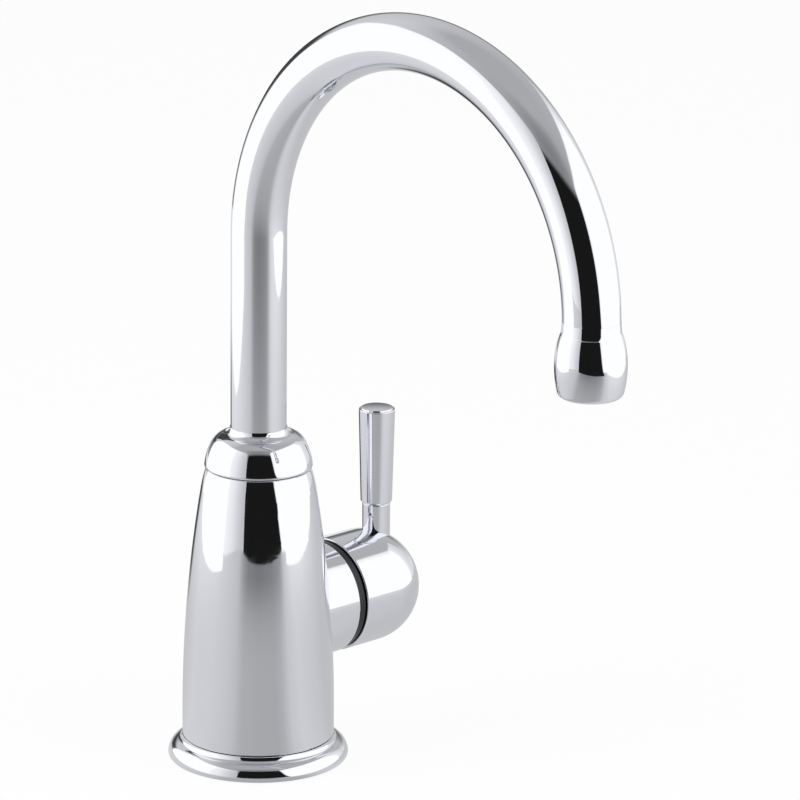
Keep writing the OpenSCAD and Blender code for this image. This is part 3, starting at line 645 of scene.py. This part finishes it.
bpy.ops.mesh.delete(type="FACE")
bpy.ops.object.mode_set(mode="OBJECT")
paint, tree, light = light_paint("tent_wall_light")
turn, height, radius = tent_places(tree)
over_edge = sums(tree, "SUBTRACT", height, edge_height(tree, turn, EDGE_HEIGHTS))
wall_tone = blend_tones(tree, fade(tree, over_edge, -EDGE_SOFTNESS, EDGE_SOFTNESS),
                        by_azimuth(tree, turn, WALL_TONES),
                        by_azimuth(tree, turn, HIGH_TONES))
tent_tone = blend_tones(tree, fade(tree, height, *ROOF_FADE), wall_tone, glow(ROOF_TONE))
over_foot = sums(tree, "SUBTRACT", height, edge_height(tree, turn, FOOT_HEIGHTS))
tent_tone = blend_tones(tree, fade(tree, over_foot, -FOOT_SOFTNESS, FOOT_SOFTNESS),
                        by_azimuth(tree, turn, FAR_TONES), tent_tone)
tree.links.new(tent_tone, light.inputs["Color"])
over_window = sums(tree, "SUBTRACT", height, edge_height(tree, turn, WINDOW_TOPS))
see_through(tree, light, fade(tree, over_window, -WINDOW_SOFTNESS, 0.0), clear_first=True)
mirror_only(tent, paint)
print("tent", [round(v, 2) for v in tent.dimensions])

# %% [markdown]
# The table in front of the chrome is grey. It is darkest in front, towards the dark gap,
# and lightest at the left, near the softbox. A painted shadow lies behind the faucet at the
# left. The body's left edge looks along the table to it, which gives its thin dark outline.

# %% Table under the tent
NEAR_TONES = [(-180, 188), (-140, 192), (-110, 206), (-70, 204), (-45, 196), (-33, 188),
              (-22, 172), (0, 167), (24, 166), (33, 174), (45, 196), (60, 204), (90, 196),
              (110, 188), (140, 188), (180, 188)]
# the tone of the painted shadow on the table behind the faucet
PAINTED_SHADOW_TONE = 70
NEAR_TO_FAR = (0.12, 0.64)
TABLE_MARGIN = 1.05     # reaches past the tent, so that no gap shows at its foot
TABLE_Z = -0.4 * MM
SHADE_SIDES = ((0.0, 0.02), (0.105, 0.075))     # in turns, from straight behind
SHADE_RADII = ((0.14, 0.23), (0.5, 0.36))
bpy.ops.object.select_all(action="DESELECT")
bpy.ops.mesh.primitive_circle_add(vertices=128, radius=TENT_RADIUS * TABLE_MARGIN,
                                  fill_type="NGON", location=(0, 0, TABLE_Z))
table = bpy.context.object
table.name = "table_in_the_mirror"
bpy.ops.object.transform_apply(location=True)
paint, tree, light = light_paint("table_light")
turn, height, radius = tent_places(tree)
table_tone = blend_tones(tree, fade(tree, radius, *NEAR_TO_FAR),
                         by_azimuth(tree, turn, NEAR_TONES), by_azimuth(tree, turn, FAR_TONES))
# painted shadow: the table darkens behind the faucet at the left, in a ring round it
shadow_behind_left = sums(tree, "MULTIPLY", *(fade(tree, turn, *edge) for edge in SHADE_SIDES))
ring_of_shade = sums(tree, "MULTIPLY", *(fade(tree, radius, *edge) for edge in SHADE_RADII))
table_tone = blend_tones(tree, sums(tree, "MULTIPLY", shadow_behind_left, ring_of_shade), table_tone,
                         glow(PAINTED_SHADOW_TONE))
tree.links.new(table_tone, light.inputs["Color"])
mirror_only(table, paint)
print("table", [round(v, 2) for v in table.dimensions])

# %% [markdown]
# The dark gap is a black flag that hangs just over the table's far edge in front of the
# camera. It draws the black line down the front of every chrome piece. Its top is a soft
# arch, its right edge flares out towards the table, and its foot is a shallow arch too.
# White cards at the left and right stand closer than the tent. One dark card behind the
# faucet gives the dome its dark left shoulder.

# %% Flags and cards
ARCH_ANGLE = 30
SWING_HEIGHT = 0.06     # the flare halves in this height above the foot
LOWEST_FOOT = 0.3       # in units of the arch angle
SIDE_SOFTNESS = 1       # degrees


def card(name, corners, heights, tone, soft_top, arch=0.0, flare=None, lift=0.0, bowed=True):
    """A card in the tent with a soft top that may be arched, and perhaps a flared edge.

    The corners are two pairs of azimuth and distance, and the card between them is bowed
    or flat. The arch is how far the top drops at ARCH_ANGLE from the middle. The flare is
    the azimuth of the right edge high up, and how far it swings out at the table. The lift
    is how far the foot of a flared card rises at ARCH_ANGLE from the foot's lowest place."""
    bpy.ops.object.select_all(action="DESELECT")
    ends = [Vector((far * cos(CAMERA_AZIMUTH + radians(turn)),
                    far * sin(CAMERA_AZIMUTH + radians(turn)), heights[0]))
            for turn, far in corners]
    rise = Vector((0, 0, heights[1] - heights[0]))
    piece = line_of(name, [ends[0], ends[0] + rise])
    bpy.ops.mesh.select_all(action="SELECT")
    if bowed:
        bpy.ops.mesh.spin(steps=32, angle=radians(corners[1][0] - corners[0][0]),
                          center=(0, 0, 0), axis=(0, 0, -1))
    else:
        bpy.ops.mesh.extrude_region_move(TRANSFORM_OT_translate={"value": ends[1] - ends[0]})
    bpy.ops.object.mode_set(mode="OBJECT")
    paint, tree, light = light_paint(name + "_paint")
    light.inputs["Color"].default_value = glow(tone)
    turn, height, radius = tent_places(tree)
    off_middle = sums(tree, "MULTIPLY", sums(tree, "SUBTRACT", turn, 0.5),
                      360 / ARCH_ANGLE)
    arched = sums(tree, "MULTIPLY", sums(tree, "MULTIPLY", off_middle, off_middle), arch)
    bare = fade(tree, sums(tree, "ADD", height, arched), soft_top[0], soft_top[1])
    if flare:
        swing = sums(tree, "DIVIDE", flare[1] * SWING_HEIGHT,
                     sums(tree, "ADD", height, SWING_HEIGHT - heights[0]))
        past = sums(tree, "SUBTRACT", sums(tree, "MULTIPLY", off_middle, ARCH_ANGLE), swing)
        bare = sums(tree, "MAXIMUM", bare, fade(tree, past, flare[0] - SIDE_SOFTNESS,
                                                flare[0] + SIDE_SOFTNESS))
        off_tip = sums(tree, "SUBTRACT", off_middle, LOWEST_FOOT)
        lifted = sums(tree, "MULTIPLY", sums(tree, "MULTIPLY", off_tip, off_tip), lift)
        over_foot = sums(tree, "SUBTRACT", height, lifted)
        bare = sums(tree, "MAXIMUM", bare, fade(tree, over_foot, heights[0] + FOOT_SOFTNESS,
                                                heights[0]))
    see_through(tree, light, bare)
    mirror_only(piece, paint)
    return piece


flag = card("black_flag", ((-26, 0.52), (46, 0.52)), (0.0245, 0.62), 23, (0.47, 0.55),
            arch=0.04, flare=(29.5, 13), lift=0.0055)
left_card = card("left_card", ((-140, 0.46), (-62, 0.52)), (0, 0.5), 254, (0.44, 0.48),
                 bowed=False)
right_card = card("right_card", ((48, 0.67), (122, 0.6)), (0, 0.6), 254, (0.52, 0.57),
                  bowed=False)
back_card = card("back_card", ((-175, 0.25), (-150, 0.25)), (0.165, 0.3), 62, (0.25, 0.28))
for piece in (flag, left_card, right_card, back_card):
    print(piece.name, [round(v, 2) for v in piece.dimensions])

# %% [markdown]
# A far wall stands beyond the tent's window. It has a dark band near eye level, which gives
# the thin dark outlines on the tube's left edge, on top of the hub and on the ring. As it is
# far away, all pieces see it in the same direction.

# %% Far wall behind the faucet
LOW_TONES = [(-180, 252), (-174, 255), (-168, 245), (-162, 155), (-156, 105), (-147, 125),
             (-141, 208), (-135, 250), (133, 236), (145, 225), (151, 213), (157, 200),
             (166, 188), (175, 222), (180, 252)]
BAND_TONES = [(-180, 104), (-174, 88), (-168, 60), (-147, 58), (-142, 130), (-138, 205),
              (-134, 250), (133, 224), (145, 207), (151, 182), (157, 158), (163, 130),
              (172, 112), (180, 104)]
BAND_FOOT, BAND_TOP = (-0.15, 0.45), (0.58, 1.05)
far_wall = card("far_wall", ((134, 2.5), (226, 2.5)), (-1.0, 2.4), 128, (3.0, 3.1))
tree = far_wall.data.materials[0].node_tree
turn, height, radius = tent_places(tree)
tone = blend_tones(tree, fade(tree, height, *BAND_FOOT), by_azimuth(tree, turn, LOW_TONES),
                   by_azimuth(tree, turn, BAND_TONES))
tone = blend_tones(tree, fade(tree, height, *BAND_TOP), tone,
                   by_azimuth(tree, turn, HIGH_TONES))
tree.links.new(tone, next(n for n in tree.nodes if n.type == "EMISSION").inputs["Color"])
print(far_wall.name, [round(v, 2) for v in far_wall.dimensions])

# %% [markdown]
# ## Floor, world and lamps
# The photograph's background is plain white. The floor is white to the camera and keeps a
# faint shadow. The world is white to the camera and to mirror rays, and a plain level of
# soft light to everything else. Two wide lamps add the direction that rubber and plastic
# need. Mirror rays don't see the lamps, because the tent already stands for them.

# %% Floor and world
WHITE_SHARE = 0.93      # the rest of what the camera sees is lit paper, with the shadow
SOFT_LIGHT = 0.6
FLOOR_SIZE, FLOOR_Z = 8, -0.5 * MM
bpy.ops.object.select_all(action="DESELECT")
bpy.ops.mesh.primitive_plane_add(size=FLOOR_SIZE, location=(0, 0, FLOOR_Z))
floor = bpy.context.object
floor.name = "studio_floor"
bpy.ops.object.transform_apply(location=True, scale=True)
floor.visible_glossy = False
paper = bpy.data.materials.new("white_paper_floor")
paper.use_nodes = True
tree = paper.node_tree
tree.nodes.clear()
matt = add(tree, "BsdfDiffuse", {"Color": colour("#f4f4f4")})
white = add(tree, "Emission", {"Color": (1, 1, 1, 1), "Strength": 1.0})
path = add(tree, "LightPath")
share = add(tree, "Math", {0: path.outputs["Is Camera Ray"], 1: WHITE_SHARE},
            operation="MULTIPLY")
lit = add(tree, "MixShader", {0: share.outputs["Value"], 1: matt.outputs["BSDF"],
                              2: white.outputs["Emission"]})
clear = add(tree, "BsdfTransparent")
side = add(tree, "NewGeometry")
sheet = add(tree, "MixShader", {0: side.outputs["Backfacing"], 1: lit.outputs["Shader"],
                                2: clear.outputs["BSDF"]})
add(tree, "OutputMaterial", {"Surface": sheet.outputs["Shader"]})
floor.data.materials.append(paper)

world = bpy.data.worlds.new("white_studio")
bpy.context.scene.world = world
world.use_nodes = True
tree = world.node_tree
tree.nodes.clear()
path = add(tree, "LightPath")
seen = add(tree, "Math", {0: path.outputs["Is Camera Ray"], 1: path.outputs["Is Glossy Ray"]},
           operation="MAXIMUM")
seen = add(tree, "Math", {0: seen.outputs["Value"], 1: path.outputs["Is Transmission Ray"]},
           operation="MAXIMUM")
level = add(tree, "MapRange", {"Value": seen.outputs["Value"], "To Min": SOFT_LIGHT,
                               "To Max": 1.0})
sky = add(tree, "Background", {"Color": (1, 1, 1, 1), "Strength": level.outputs["Result"]})
add(tree, "OutputWorld", {"Surface": sky.outputs["Background"]})
print("world and floor are white to the camera")

# %% Two soft lamps
LAMP_DISTANCE, LAMP_SIZE = 1.1, 0.9
LIT_PLACE = Vector((0, 0, 0.1))
for name, azimuth, high, watts in (("left_softbox", -70, 0.7, 9),
                                   ("right_softbox", 60, 0.9, 6)):
    angle = CAMERA_AZIMUTH + radians(azimuth)
    bpy.ops.object.light_add(type="AREA", location=(LAMP_DISTANCE * cos(angle),
                                                    LAMP_DISTANCE * sin(angle), high))
    lamp = bpy.context.object
    lamp.name = name
    lamp.data.size = LAMP_SIZE
    lamp.data.energy = watts
    lamp.rotation_euler = (LIT_PLACE - lamp.location).to_track_quat("-Z", "Y").to_euler()
    lamp.visible_glossy = False
    print(name, lamp.data.energy, "W")
